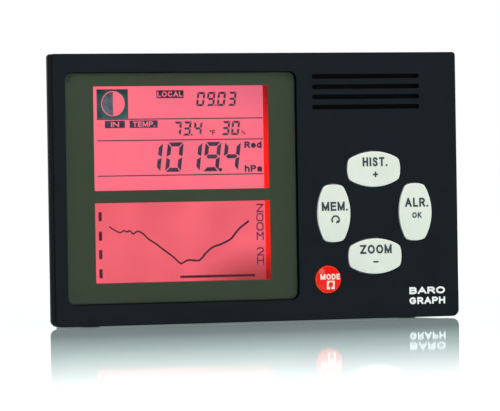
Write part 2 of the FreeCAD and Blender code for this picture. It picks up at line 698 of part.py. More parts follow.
def nodes():
    guide_d = LCD_D + LCD_T + 0.1
    sheet_d = guide_d + GUIDE_T
    made = {
        "front_cover": make_front_cover(),
        "dust_mesh": make_dust_mesh(),
        "display_lens": make_lens(),
        "display_mask": make_mask(),
        "lens_tape": make_tape(),
        "display_frame": make_display_frame(),
        "lcd_upper": plate(LCD_UPPER, LCD_D, LCD_D + LCD_T),
        "lcd_lower": plate(LCD_LOWER, LCD_D, LCD_D + LCD_T),
        "light_guide_upper": plate(GUIDE_UPPER, guide_d, sheet_d),
        "light_guide_lower": plate(GUIDE_LOWER, guide_d, sheet_d),
        "reflector_upper": plate(GUIDE_UPPER, sheet_d, sheet_d + REFLECTOR_T),
        "reflector_lower": plate(GUIDE_LOWER, sheet_d, sheet_d + REFLECTOR_T),
        "zebra_upper": make_zebra(53.2),
        "zebra_lower": make_zebra(15.6),
        "backlight_leds": make_leds(),
        "main_board": make_board(),
        "board_screws": make_board_screws(),
        "controller_blob": make_controller(),
        "clock_crystal": make_crystal(),
        "capacitors": make_capacitors(),
        "pressure_sensor": make_pressure_sensor(),
        "humidity_sensor": make_humidity_sensor(),
        "buzzer": make_buzzer(),
        "lead_connector": make_connector(),
        "battery_lead_plus": make_lead([(-6.9, 21.0, 52.4), (-4.6, 19.6, 56.0), (-2.4, 17.0, 62.0),
                                        (-1.6, 15.8, 67.0), (-1.6, 15.8, 70.1)]),
        "battery_lead_minus": make_lead([(-6.9, 21.0, 22.4), (-3.6, 19.5, 28.0), (0.6, 17.0, 40.0),
                                         (1.6, 16.0, 56.0), (1.6, 15.8, 64.0), (1.6, 15.8, 70.1)]),
        "keypad_mat": make_keypad_mat(),
        "rear_cover": make_rear_cover(),
        "case_screws": make_case_screws(),
        "rubber_feet": make_feet(),
        "battery_door": make_door(),
        "battery_1": make_cell(0),
        "battery_2": make_cell(1),
        "battery_3": make_cell(2),
        "battery_contacts": make_contacts(),
        "battery_springs": make_springs(),
        "stand": make_stand(),
        "power_jack": make_jack(),
        "power_jack_pin": make_jack_pin(),
    }
    for name, spec in KEYS.items():
        made[name + "_key"] = make_key(spec)
        made[name + "_dome"] = make_dome(spec)
    return made


os.makedirs("parts", exist_ok=True)
for node, shape in nodes().items():
    shape.exportStep("parts/" + node + ".step")
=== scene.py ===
import math

import bmesh
import bpy
from bpy.props import FloatProperty, FloatVectorProperty, PointerProperty
from mathutils import Matrix, Vector


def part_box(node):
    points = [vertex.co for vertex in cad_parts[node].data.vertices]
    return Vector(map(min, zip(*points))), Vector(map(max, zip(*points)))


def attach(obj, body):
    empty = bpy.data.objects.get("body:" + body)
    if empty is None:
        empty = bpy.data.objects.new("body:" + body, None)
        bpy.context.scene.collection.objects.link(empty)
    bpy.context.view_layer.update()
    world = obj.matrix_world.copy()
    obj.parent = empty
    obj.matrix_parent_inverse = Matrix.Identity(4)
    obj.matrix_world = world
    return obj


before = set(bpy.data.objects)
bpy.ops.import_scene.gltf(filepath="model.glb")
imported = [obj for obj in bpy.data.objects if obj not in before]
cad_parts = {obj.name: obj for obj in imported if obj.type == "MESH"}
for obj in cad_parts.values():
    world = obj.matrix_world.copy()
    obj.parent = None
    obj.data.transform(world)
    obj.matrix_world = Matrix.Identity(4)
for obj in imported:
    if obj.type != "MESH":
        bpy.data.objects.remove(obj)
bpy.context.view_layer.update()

bl_info = {
    "name": "Desk barograph",
    "version": (1, 0, 0),
    "blender": (4, 5, 0),
    "location": "3D View > Sidebar > Barograph",
    "description": "Dresses the barograph's frame with its finishes, display, legends and studio",
    "category": "Object",
}

MM = 0.001
CASE = "case"
WHITE = (1.0, 1.0, 1.0, 1.0)
ACRYLIC = 1.49  # index of refraction
ABS = 1.54

# Places taken from the frame, in metres
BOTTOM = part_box("front_cover")[0][2]
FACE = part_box("front_cover")[0][1]
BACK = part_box("rear_cover")[1][1]
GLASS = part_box("lcd_upper")[0][1] - 0.01 * MM  # plane of the display segments
KEY_TOP = FACE - 1.2 * MM  # highest point of the keys

AIM = Vector((-4.197 * MM, FACE, BOTTOM + 47.7 * MM))  # what the camera looks at
DISTANCE = 1.7608  # from there to the camera
SHINE_NEAR, SHINE_FAR = 0.10, 0.70  # the table is glossy up to here, and dull from there on


def linear(code):
    """Linear colour from an sRGB hex code."""
    parts = [int(code[i:i + 2], 16) / 255 for i in (0, 2, 4)]
    return tuple(p / 12.92 if p <= 0.04045 else ((p + 0.055) / 1.055) ** 2.4 for p in parts)


def colour(name, description, code):
    return FloatVectorProperty(name=name, description=description, subtype="COLOR", size=3,
                               min=0.0, max=1.0, default=linear(code))


def length(name, description, millimetres):
    return FloatProperty(name=name, description=description, subtype="DISTANCE", unit="LENGTH",
                         min=0.0, default=millimetres * MM)


def power(name, description, watts):
    return FloatProperty(name=name, description=description, unit="POWER", min=0.0, default=watts)


def angle(name, description, degrees):
    return FloatProperty(name=name, description=description, subtype="ANGLE", unit="ROTATION",
                         default=math.radians(degrees))


class BarographColours(bpy.types.PropertyGroup):
    """Colours of the instrument."""
    case: colour("Case", "Moulded case, front and rear", "181D21")
    panel: colour("Panel", "Film behind the display lens", "2B3725")
    white_key: colour("White keys", "Four keys of the cross", "D4D8CC")
    red_key: colour("Mode key", "Round key", "E80A00")
    white_ink: colour("Key legends", "Print on the white keys", "2B333D")
    red_ink: colour("Mode legend", "Print on the mode key", "FFD9D2")
    light_upper: colour("Upper light", "Backlight of the upper window", "FF6F83")
    light_lower: colour("Lower light", "Backlight of the lower window", "FA6475")
    light_dim: colour("Dim light", "Backlight where it falls off", "D9607A")
    well: colour("Window wall", "Walls of the two windows", "FA1400")
    crystal: colour("Segments", "Display segments that are on", "43364F")


class BarographSizes(bpy.types.PropertyGroup):
    """Sizes of the display and print."""
    ink: length("Ink thickness", "Height of printed legends", 0.03)
    film: length("Segment thickness", "Height of the display segments", 0.03)
    big_digit: length("Pressure digits", "Height of the pressure reading", 12.0)
    small_digit: length("Small digits", "Height of time, temperature and humidity", 5.8)
    rule: length("Rule", "Thickness of the lines between the rows", 0.42)
    trace: length("Trace", "Thickness of the pressure curve", 0.75)


class BarographStudio(bpy.types.PropertyGroup):
    """Floor, light and camera."""
    front: FloatProperty(name="Front screen", description="Brightness of what the face looks at",
                         min=0.0, default=0.25)
    key_power: power("Key light", "Large soft light", 13.0)
    fill_power: power("Fill light", "Light from the right", 2.0)
    catch_power: power("Catch light", "Small light that marks the rims of the keys", 0.9)
    lens: FloatProperty(name="Focal length", description="Camera focal length in millimetres", min=1.0,
                        default=309.6)
    turn: angle("Turn", "Camera's heading from the face's normal", 21.58)
    dip: angle("Dip", "Camera's tilt downwards", 0.42)
    roll: angle("Roll", "Camera's roll", -0.91)


# Helpers --------------------------------------------------------------------------------

def add(tree, kind, inputs=None, **settings):
    """Adds a node with its settings. An input is a value, an output to link, or a node whose first
    output in use is linked."""
    made = tree.nodes.new(kind)
    for name, value in settings.items():
        setattr(made, name, value)
    for name, value in (inputs or {}).items():
        if isinstance(value, bpy.types.Node):
            value = next(output for output in value.outputs if output.enabled)
        if isinstance(value, bpy.types.NodeSocket):
            tree.links.new(value, made.inputs[name])
        else:
            made.inputs[name].default_value = value
    return made


def new_material(name):
    """New node material, its tree, and the place on its surface in metres."""
    material = bpy.data.materials.new(name)
    material.use_nodes = True
    tree = material.node_tree
    tree.nodes.clear()
    return material, tree, add(tree, "ShaderNodeTexCoord").outputs["Object"]


def rgba(value, factor=1.0):
    return (value[0] * factor, value[1] * factor, value[2] * factor, 1.0)


def uneven(tree, where, size, low, high, detail=2.0):
    """Value that wanders from low to high over about size millimetres of the surface."""
    patchy = add(tree, "ShaderNodeTexNoise", {"Vector": where, "Scale": 1 / (size * MM),
                                              "Detail": detail, "Roughness": 0.55})
    return add(tree, "ShaderNodeMapRange", {"Value": patchy, "From Min": 0.3, "From Max": 0.7,
                                            "To Min": low, "To Max": high})


def surface(name, tone, rough, grain, height, ior=1.5, varied=0.12, edge=None, shine=0.5, **settings):
    """Solid finish: tone that varies a little, rough given as a pair, and a grain of that size and
    height in millimetres. edge is a tone painted on the surfaces that don't face front or back: painted
    shade when it is darker, painted highlight when it is paler. shine is the strength of the clear
    reflection."""
    material, tree, where = new_material(name)
    speck = add(tree, "ShaderNodeTexNoise", {"Vector": where, "Scale": 1 / (grain * MM),
                                             "Detail": 3.0, "Roughness": 0.55})
    bump = add(tree, "ShaderNodeBump", {"Height": speck, "Distance": height * MM})
    gloss = add(tree, "ShaderNodeMapRange", {"Value": speck, "From Min": 0.3, "From Max": 0.7,
                                             "To Min": rough[0], "To Max": rough[1]})
    low = tuple(c * (1 - varied) for c in tone)
    high = tuple(min(1.0, c * (1 + varied)) for c in tone)
    patchy = uneven(tree, where, 14.0, 0.0, 1.0)
    shade = add(tree, "ShaderNodeMix", {"Factor": patchy, 6: rgba(low), 7: rgba(high)},
                data_type="RGBA")
    # Painted light: faces turned away from front and back take the edge tone
    if edge:
        normal = add(tree, "ShaderNodeNewGeometry").outputs["Normal"]
        axes = add(tree, "ShaderNodeSeparateXYZ", {"Vector": normal})
        flat = add(tree, "ShaderNodeMath", {0: axes.outputs["Y"]}, operation="ABSOLUTE")
        painted_side_mask = add(tree, "ShaderNodeMapRange", {"Value": flat, "From Min": 0.97, "From Max": 0.6})
        shade = add(tree, "ShaderNodeMix", {"Factor": painted_side_mask, 6: shade, 7: rgba(edge)},
                    data_type="RGBA")
    shader = add(tree, "ShaderNodeBsdfPrincipled",
                 {"Base Color": shade, "Roughness": gloss, "Normal": bump, "IOR": ior,
                  "Specular IOR Level": shine, **settings})
    add(tree, "ShaderNodeOutputMaterial", {"Surface": shader})
    return material


def dress(material, *names):
    """Gives CAD nodes one material, for all their faces."""
    for name in names:
        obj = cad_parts[name]
        obj.data.materials.clear()
        obj.data.materials.append(material)


def piece(name, mesh, material, body):
    """New piece in the row frame that rides on a body."""
    obj = bpy.data.objects.new(name, mesh)
    bpy.context.scene.collection.objects.link(obj)
    mesh.materials.clear()
    mesh.materials.append(material)
    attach(obj, body)
    return obj


def closed_mesh(work, name):
    """Mesh from finished edit data, with its faces turned outwards."""
    bmesh.ops.recalc_face_normals(work, faces=work.faces)
    mesh = bpy.data.meshes.new(name)
    work.to_mesh(mesh)
    work.free()
    return mesh


def flat_prisms(name, outlines, front, thick):
    """Mesh of flat shapes standing on a plane: each outline is (x, z) points in metres."""
    work = bmesh.new()
    for outline in outlines:
        near = [work.verts.new((x, front - thick, z)) for x, z in outline]
        far = [work.verts.new((x, front, z)) for x, z in outline]
        work.faces.new(near)
        work.faces.new(list(reversed(far)))
        for i in range(len(near)):
            j = (i + 1) % len(near)
            work.faces.new([near[j], near[i], far[i], far[j]])
    return closed_mesh(work, name)


def at(x, z):
    """Point in metres, given in millimetres above the case's bottom edge."""
    return (x * MM, BOTTOM + z * MM)


def mm_area(x0, x1, z0, z1):
    """Area in metres, given in millimetres above the case's bottom edge."""
    return (x0 * MM, x1 * MM, BOTTOM + z0 * MM, BOTTOM + z1 * MM)


def rectangle(x0, x1, z0, z1):
    """Outline of an area."""
    return [(x0, z0), (x1, z0), (x1, z1), (x0, z1)]


def block(*sides):
    """Outline of an area given in millimetres above the case's bottom edge."""
    return rectangle(*mm_area(*sides))


def band(name, points, wide, front, thick):
    """Ribbon along points with mitred corners and square ends, as a closed mesh. wide is one
    width, or one for each point; a line that ends where it starts is closed."""
    closed = math.dist(points[0], points[-1]) < 1e-9
    points = points[:-1] if closed else points
    count = len(points)
    widths = wide if isinstance(wide, list) else [wide] * count
    work = bmesh.new()
    rows = []
    for i, (x, z) in enumerate(points):
        before = points[i - 1] if closed or i else None
        after = points[(i + 1) % count] if closed or i + 1 < count else None
        ways = [((b[0] - a[0]) / math.dist(a, b), (b[1] - a[1]) / math.dist(a, b))
                for a, b in ((before, (x, z)), ((x, z), after)) if a and b]
        tx, tz = sum(w[0] for w in ways) / len(ways), sum(w[1] for w in ways) / len(ways)
        run = max(math.hypot(tx, tz), 0.45)
        half = widths[i] / 2
        nx, nz = -tz / run ** 2 * half, tx / run ** 2 * half
        if not closed and i in (0, count - 1):
            push = half if i else -half
            x, z = x + tx * push, z + tz * push
        rows.append([work.verts.new(co) for co in (
            (x + nx, front - thick, z + nz), (x - nx, front - thick, z - nz),
            (x - nx, front, z - nz), (x + nx, front, z + nz))])
    for a, b in zip(rows, rows[1:] + (rows[:1] if closed else [])):
        for i in range(4):
            j = (i + 1) % 4
            work.faces.new([a[i], a[j], b[j], b[i]])
    if not closed:
        work.faces.new(rows[0])
        work.faces.new(list(reversed(rows[-1])))
    return closed_mesh(work, name)


def joined(meshes, name):
    """One mesh from several."""
    work = bmesh.new()
    for mesh in meshes:
        work.from_mesh(mesh)
    result = bpy.data.meshes.new(name)
    work.to_mesh(result)
    work.free()
    return result


# Lettering ------------------------------------------------------------------------------

def arc(x, z, rx, rz, start, end, steps=12):
    """Points of part of an ellipse, from one angle to another in degrees."""
    turns = [math.radians(start + (end - start) * i / steps) for i in range(steps + 1)]
    return [(x + rx * math.cos(t), z + rz * math.sin(t)) for t in turns]


def smooth(points, steps=5):
    """Points of a smooth curve through the given ones."""
    result = []
    for i in range(len(points) - 1):
        p = [points[max(i - 1, 0)], points[i], points[i + 1], points[min(i + 2, len(points) - 1)]]
        for k in range(steps):
            t = k / steps
            weights = (-0.5 * t + t * t - 0.5 * t ** 3, 1 - 2.5 * t * t + 1.5 * t ** 3,
                       0.5 * t + 2 * t * t - 1.5 * t ** 3, -0.5 * t * t + 0.5 * t ** 3)
            result.append(tuple(sum(w * q[axis] for w, q in zip(weights, p)) for axis in (0, 1)))
    result.append(points[-1])
    return result


# Plain letters: width, then the strokes' middle lines, for a letter one unit high
S_CURVE = ((0.58, 0.84), (0.48, 0.97), (0.30, 1.0), (0.12, 0.96), (0.03, 0.80), (0.10, 0.63),
           (0.31, 0.53), (0.52, 0.42), (0.60, 0.22), (0.50, 0.04), (0.31, 0.0), (0.11, 0.03),
           (0.0, 0.17))
LETTERS = {
    ".": (0.0, [[(0, 0), (0, 0.001)]]),
    "A": (0.76, [[(0, 0), (0.38, 1), (0.76, 0)], [(0.14, 0.34), (0.62, 0.34)]]),
    "B": (0.64, [[(0, 0), (0, 1)] + arc(0.34, 0.77, 0.26, 0.23, 90, -90) + [(0, 0.54)],
                 [(0, 0.54)] + arc(0.36, 0.27, 0.28, 0.27, 90, -90) + [(0, 0)]]),
    "C": (0.70, [arc(0.38, 0.5, 0.38, 0.5, 45, 315, 18)]),
    "D": (0.70, [[(0, 0)] + arc(0.30, 0.5, 0.40, 0.5, -90, 90) + [(0, 1), (0, 0)]]),
    "E": (0.60, [[(0.60, 1), (0, 1), (0, 0), (0.60, 0)], [(0, 0.52), (0.54, 0.52)]]),
    "F": (0.56, [[(0.56, 1), (0, 1), (0, 0)], [(0, 0.50), (0.48, 0.50)]]),
    "G": (0.76, [arc(0.38, 0.5, 0.38, 0.5, 48, 325, 18) + [(0.72, 0.48), (0.46, 0.48)]]),
    "H": (0.68, [[(0, 0), (0, 1)], [(0.68, 0), (0.68, 1)], [(0, 0.52), (0.68, 0.52)]]),
    "I": (0.0, [[(0, 0), (0, 1)]]),
    "K": (0.68, [[(0, 0), (0, 1)], [(0.62, 1), (0, 0.36)], [(0.2, 0.56), (0.68, 0)]]),
    "L": (0.50, [[(0, 1), (0, 0), (0.50, 0)]]),
    "M": (0.84, [[(0, 0), (0, 1), (0.42, 0.06), (0.84, 1), (0.84, 0)]]),
    "N": (0.68, [[(0, 0), (0, 1), (0.68, 0), (0.68, 1)]]),
    "O": (0.80, [arc(0.40, 0.5, 0.40, 0.5, 0, 360, 28)]),
    "P": (0.62, [[(0, 0), (0, 1)] + arc(0.34, 0.74, 0.28, 0.26, 90, -90) + [(0, 0.48)]]),
    "R": (0.66, [[(0, 0), (0, 1)] + arc(0.36, 0.74, 0.28, 0.26, 90, -90) + [(0, 0.48)],
                 [(0.34, 0.48), (0.66, 0)]]),
    "S": (0.62, [smooth(S_CURVE, 3)]),
    "T": (0.66, [[(0, 1), (0.66, 1)], [(0.33, 1), (0.33, 0)]]),
    "Z": (0.64, [[(0, 1), (0.64, 1), (0, 0), (0.64, 0)]]),
    "a": (0.50, [[(0.04, 0.58)] + arc(0.27, 0.50, 0.22, 0.22, 110, 0, 8) + [(0.49, 0)],
                 arc(0.24, 0.19, 0.24, 0.19, 0, 360, 20)]),
    "d": (0.54, [[(0.54, 0), (0.54, 1)], arc(0.27, 0.36, 0.27, 0.36, 0, 360, 20)]),
    "e": (0.54, [[(0.02, 0.36)] + arc(0.27, 0.36, 0.27, 0.36, 0, 312, 16)]),
    "h": (0.50, [[(0, 0), (0, 1)], [(0, 0.42)] + arc(0.25, 0.47, 0.25, 0.25, 160, 0, 8) + [(0.50, 0)]]),
    "°": (0.26, [arc(0.13, 0.87, 0.13, 0.13, 0, 360, 14)]),
}


def runs(line):
    """Parts of a line between its sharp corners."""
    parts, part = [], [line[0]]
    for a, b, c in zip(line, line[1:], line[2:]):
        part.append(b)
        turn = math.atan2(c[1] - b[1], c[0] - b[0]) - math.atan2(b[1] - a[1], b[0] - a[0])
        if math.cos(turn) < 0.7:
            parts.append(part)
            part = [b]
    return parts + [part + [line[-1]]]


def strokes(name, lines, wide, front, thick):
    """Meshes of straight and curved strokes; each is a hair thicker than the one before, so that
    no two share a surface where they cross."""
    meshes = []
    for line in lines:
        for part in runs(line):
            meshes.append(band(name, part, wide, front, thick + 0.004 * MM * (len(meshes) % 8)))
    return meshes


def lettering(name, text, area, stroke, front, thick):
    """Raised letters of one stroke width that fill area = (x0, x1, z0, z1) in metres."""
    x0, x1, z0, z1 = area
    high = z1 - z0 - stroke
    pitch = stroke + 0.2 * high
    total = sum(LETTERS[letter][0] for letter in text)
    stretch = ((x1 - x0) - stroke - pitch * (len(text) - 1)) / total
    left = x0 + stroke / 2
    meshes = []
    for letter in text:
        wide, lines = LETTERS[letter]
        shaped = [[(left + x * stretch, z0 + stroke / 2 + z * high) for x, z in line] for line in lines]
        meshes += strokes(name, shaped, stroke, front, thick)
        left += wide * stretch + pitch
    return joined(meshes, name)


# Finishes -------------------------------------------------------------------------------

def case_abs(tone):
    """Black ABS moulded against a spark-eroded tool: a fine even texture that kills gloss. The sides,
    which face neither front nor back, are darkened with painted shade."""
    return surface("abs_spark_textured_black", tone, (0.58, 0.72), 0.45, 0.010, ior=ABS,
                   varied=0.08, edge=linear("06080A"), shine=0.018)


def rear_abs(tone):
    """The same ABS with a coarser texture on the rear cover and the stand."""
    return surface("abs_coarse_textured_black", tone, (0.55, 0.75), 0.7, 0.018, ior=ABS,
                   shine=0.22)


def key_abs(tone):
    """Off-white ABS moulded in a vapour-honed tool: satin, with a painted highlight that makes the rims
    paler."""
    return surface("abs_satin_white", tone, (0.32, 0.42), 0.5, 0.002, ior=ABS, varied=0.03,
                   edge=linear("FCFDFA"), shine=0.45,
                   **{"Subsurface Weight": 0.12, "Subsurface Radius": (0.0012, 0.0010, 0.0007),
                      "Subsurface Scale": 1.0})


def red_abs(tone):
    """Red ABS from a polished tool: a clear highlight on the dome, and a painted orange highlight on
    its rim.
    """
    return surface("abs_polished_red", tone, (0.12, 0.16), 1.2, 0.001, ior=ABS, varied=0.04,
                   edge=linear("FF5A1E"), shine=0.2)


def panel_film(tone):
    """Polycarbonate film, screen printed on its rear: even, slightly mottled olive."""
    return surface("polycarbonate_printed_olive", tone, (0.45, 0.55), 0.6, 0.001, ior=1.58,
                   varied=0.05, shine=0.2)


def acrylic():
    """Cast acrylic with an anti-glare hard coat: clear, with a weak soft reflection."""
    material, tree, where = new_material("acrylic_hard_coated_clear")
    clear = add(tree, "ShaderNodeBsdfTransparent", {"Color": (0.97, 0.98, 0.97, 1.0)})
    gloss = add(tree, "ShaderNodeBsdfGlossy", {"Color": WHITE,
                                               "Roughness": uneven(tree, where, 1.5, 0.10, 0.16)})
    edge = add(tree, "ShaderNodeFresnel", {"IOR": ACRYLIC})
    weak = add(tree, "ShaderNodeMath", {0: edge, 1: 0.1}, operation="MULTIPLY")
    mix = add(tree, "ShaderNodeMixShader", {"Fac": weak, 1: clear, 2: gloss})
    add(tree, "ShaderNodeOutputMaterial", {"Surface": mix})
    return material


def lit_glass(name, bright, dim, corner, reach):
    """Polarised display glass lit from behind: even pink, duller towards one lower corner.
    corner is (x, z) and reach the distance over which the light falls off, in metres."""
    material, tree, where = new_material(name)
    offset = add(tree, "ShaderNodeVectorMath", {0: where, 1: (corner[0], 0.0, corner[1])},
                 operation="SUBTRACT")
    squeezed = add(tree, "ShaderNodeVectorMath", {0: offset, 1: (0.8, 0.0, 1.6)}, operation="MULTIPLY")
    away = add(tree, "ShaderNodeVectorMath", {0: squeezed}, operation="LENGTH")
    fall = add(tree, "ShaderNodeMapRange", {"Value": away, "From Max": reach, "To Min": 0.8,
                                            "To Max": 0.0}, interpolation_type="SMOOTHSTEP")
    cloudy = uneven(tree, where, 22.0, 0.0, 0.24, 1.0)
    total = add(tree, "ShaderNodeMath", {0: fall, 1: cloudy}, operation="MAXIMUM")
    shade = add(tree, "ShaderNodeMix", {"Factor": total, 6: rgba(bright), 7: rgba(dim)},
                data_type="RGBA")
    shader = add(tree, "ShaderNodeBsdfPrincipled",
                 {"Base Color": (0.02, 0.005, 0.008, 1.0), "Roughness": 0.4, "Specular IOR Level": 0.1,
                  "Emission Color": shade, "Emission Strength": 1.06})
    add(tree, "ShaderNodeOutputMaterial", {"Surface": shader})
    return material


def lit_wall(tone):
    """Translucent red ABS with the light of the lamps beside the glass painted on as a glow: saturated,
    dying off at the ends.
    """
    material, tree, where = new_material("abs_translucent_red_lit")
    axes = add(tree, "ShaderNodeSeparateXYZ", {"Vector": where})
    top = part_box("lcd_upper")[1][2] - 2 * MM
    upper = add(tree, "ShaderNodeMapRange", {"Value": axes.outputs["Z"], "From Min": top - 24 * MM,
                                             "From Max": top - 3 * MM, "To Min": 1.0, "To Max": 0.1})
    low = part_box("lcd_lower")[0][2] + 2 * MM
    lower = add(tree, "ShaderNodeMapRange", {"Value": axes.outputs["Z"], "From Min": low + 2 * MM,
                                             "From Max": low + 13 * MM, "To Min": 0.15, "To Max": 1.0})
    share = add(tree, "ShaderNodeMath", {0: upper, 1: lower}, operation="MULTIPLY")
    shade = add(tree, "ShaderNodeMix", {"Factor": share, 6: rgba(tone, 0.05), 7: rgba(tone)},
                data_type="RGBA")
    shader = add(tree, "ShaderNodeBsdfPrincipled",
                 {"Base Color": rgba(tone, 0.25), "Roughness": 0.5, "Specular IOR Level": 0.1,
                  "Emission Color": shade, "Emission Strength": 0.88})
    add(tree, "ShaderNodeOutputMaterial", {"Surface": shader})
    return material


def segment_ink(tone):
    """Liquid crystal that is switched on: dark violet-grey, a little uneven."""
    material, tree, where = new_material("liquid_crystal_dark")
    patchy = uneven(tree, where, 3.0, 0.0, 1.0)
    shade = add(tree, "ShaderNodeMix", {"Factor": patchy, 6: rgba(tone, 0.6), 7: rgba(tone, 1.25)},
                data_type="RGBA")
    shader = add(tree, "ShaderNodeBsdfPrincipled",
                 {"Base Color": shade, "Roughness": 0.5, "Specular IOR Level": 0.1})
    add(tree, "ShaderNodeOutputMaterial", {"Surface": shader})
    return material


def ink(name, tone):
    """Pad-printed ink: thin, matt and slightly uneven at its edges."""
    return surface(name, tone, (0.5, 0.6), 0.3, 0.001, varied=0.06, shine=0.3)


def metal(name, tone, rough, grain):
    """Plated or bare metal with fine marks of that size in millimetres."""
    return surface(name, tone, rough, grain, 0.002, varied=0.06, **{"Metallic": 1.0})


def rubber(name, tone):
    """Moulded silicone or rubber: dull, with a dusty bloom."""
    return surface(name, tone, (0.7, 0.85), 0.5, 0.006, ior=1.42, varied=0.10,
                   shine=0.25)


def cloth(tone):
    """Black polyester cloth, plain weave of 0.5 mm threads drawn at 0.8 mm so that it shows."""
    material, tree, where = new_material("polyester_woven_black")
    pitch = 1 / (0.8 * MM)
    warp = add(tree, "ShaderNodeTexWave", {"Vector": where, "Scale": pitch / 3}, bands_direction="X")
    weft = add(tree, "ShaderNodeTexWave", {"Vector": where, "Scale": pitch / 3}, bands_direction="Z")
    weave = add(tree, "ShaderNodeMath", {0: warp.outputs["Fac"], 1: weft.outputs["Fac"]},
                operation="MULTIPLY")
    bump = add(tree, "ShaderNodeBump", {"Height": weave, "Distance": 0.1 * MM})
    shade = add(tree, "ShaderNodeMix", {"Factor": weave, 6: rgba(tone, 0.3), 7: rgba(tone)},
                data_type="RGBA")
    shader = add(tree, "ShaderNodeBsdfPrincipled", {"Base Color": shade, "Roughness": 0.9,
                                                    "Specular IOR Level": 0.1, "Normal": bump})
    add(tree, "ShaderNodeOutputMaterial", {"Surface": shader})
    return material


def cell_sleeve():
    """Printed shrink sleeve of a dry cell: dark body, copper band at the plus end."""
    material, tree, where = new_material("pvc_printed_sleeve")
    axes = add(tree, "ShaderNodeSeparateXYZ", {"Vector": where})
    middle = add(tree, "ShaderNodeMath", {0: axes.outputs["X"], 1: 38.0 * MM}, operation="ADD")
    away = add(tree, "ShaderNodeMath", {0: middle}, operation="ABSOLUTE")
    copper = add(tree, "ShaderNodeMath", {0: away, 1: 17.0 * MM}, operation="GREATER_THAN")
    shade = add(tree, "ShaderNodeMix", {"Factor": copper, 6: rgba(linear("20242B")),
                                        7: rgba(linear("B4703A"))}, data_type="RGBA")
    shader = add(tree, "ShaderNodeBsdfPrincipled",
                 {"Base Color": shade, "Roughness": uneven(tree, where, 4.0, 0.25, 0.4)})
    add(tree, "ShaderNodeOutputMaterial", {"Surface": shader})
    return material


# Case -----------------------------------------------------------------------------------

class BAROGRAPH_OT_case(bpy.types.Operator):
    """Finish the front cover, rear cover, door, stand, screws and feet"""
    bl_idname = "barograph.case"
    bl_label = "Case"

    def execute(self, context):
        tones = context.scene.barograph_colours
        dress(case_abs(tones.case), "front_cover")
        dress(rear_abs(tones.case), "rear_cover", "stand", "battery_door")
        dress(cloth(linear("15181B")), "dust_mesh")
        # Steel blackened in a bath: dark, with a dull shine
        dress(metal("steel_black_oxide", linear("2A2A2C"), (0.4, 0.55), 0.6), "case_screws")
        # Moulded rubber: matt black
        dress(rubber("rubber_moulded_black", linear("161616")), "rubber_feet")
        # Moulded nylon: smoother and shinier than the case
        jack = surface("nylon_moulded_black", linear("101112"), (0.35, 0.45), 0.8, 0.003,
                       shine=0.4)
        dress(jack, "power_jack", "buzzer")
        # Plated brass: small warm highlights
        dress(metal("brass_nickel_plated", linear("CDBE92"), (0.2, 0.3), 0.8), "power_jack_pin")
        return {"FINISHED"}


class BAROGRAPH_OT_keys(bpy.types.Operator):
    """Finish the five keys and what is under them"""
    bl_idname = "barograph.keys"
    bl_label = "Keys"

    def execute(self, context):
        tones = context.scene.barograph_colours
        dress(key_abs(tones.white_key), "history_key", "zoom_key", "memory_key", "alarm_key")
        dress(red_abs(tones.red_key), "mode_key")
        domes = [key + "_dome" for key in CROWN]
        # Silicone from a matt tool: soft grey, no highlight
        dress(rubber("silicone_moulded_grey", linear("B4B8BA")), "keypad_mat", *domes)
        return {"FINISHED"}


class BAROGRAPH_OT_panel(bpy.types.Operator):
    """Finish the lens, its printed film, the window walls and the lit glass"""
    bl_idname = "barograph.panel"
    bl_label = "Display panel"

    def execute(self, context):
        tones = context.scene.barograph_colours
        dress(acrylic(), "display_lens")
        dress(panel_film(tones.panel), "display_mask")
        # Foam tape with a polyester skin: flat black
        tape = surface("polyester_tape_black", linear("141414"), (0.6, 0.7), 1.0, 0.002)
        dress(tape, "lens_tape")
        dress(lit_wall(tones.well), "display_frame")
        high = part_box("lcd_upper")[1]
        dress(lit_glass("glass_polarised_upper", tones.light_upper, tones.light_dim,
                        (high[0], high[2]), 34 * MM), "lcd_upper")
        low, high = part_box("lcd_lower")
        dress(lit_glass("glass_polarised_lower", tones.light_lower, linear("7E1208"),
                        (high[0] - 6 * MM, low[2]), 34 * MM), "lcd_lower")
        return {"FINISHED"}


